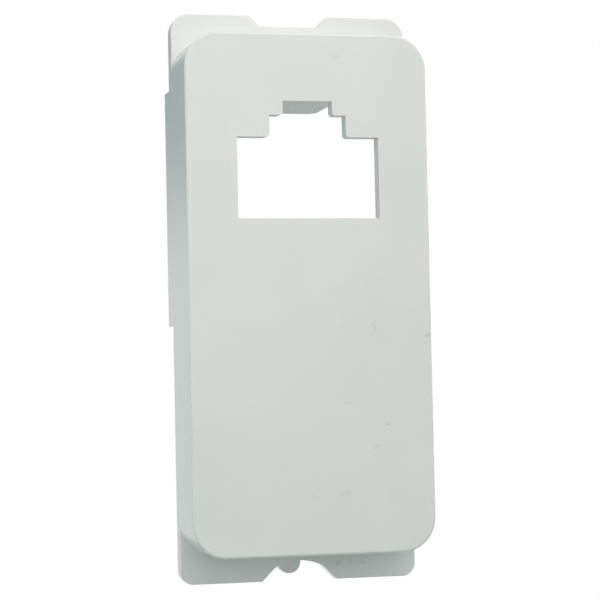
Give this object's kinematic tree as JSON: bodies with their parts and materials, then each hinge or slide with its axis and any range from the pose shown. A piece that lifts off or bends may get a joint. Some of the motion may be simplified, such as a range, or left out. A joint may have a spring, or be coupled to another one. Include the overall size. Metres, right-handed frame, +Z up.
{
  "type": "module adaptor",
  "caption": "Moulded insert that holds a modular jack in a wall plate: raised hollow block with a stepped jack window, notched ears above and below, and a snap nub.",
  "frame": {"origin": "middle of the plane of the ears' fronts, where the back of the plate bears", "axes": "+Z up along the long side, +X to the right seen from the front, the face looks along -Y"},
  "size_m": [0.021, 0.0111, 0.0492],
  "materials": {
    "white_plastic": "satin moulded white"
  },
  "bodies": {
    "root": {"adaptor_body": "white_plastic"}
  },
  "joints": []
}
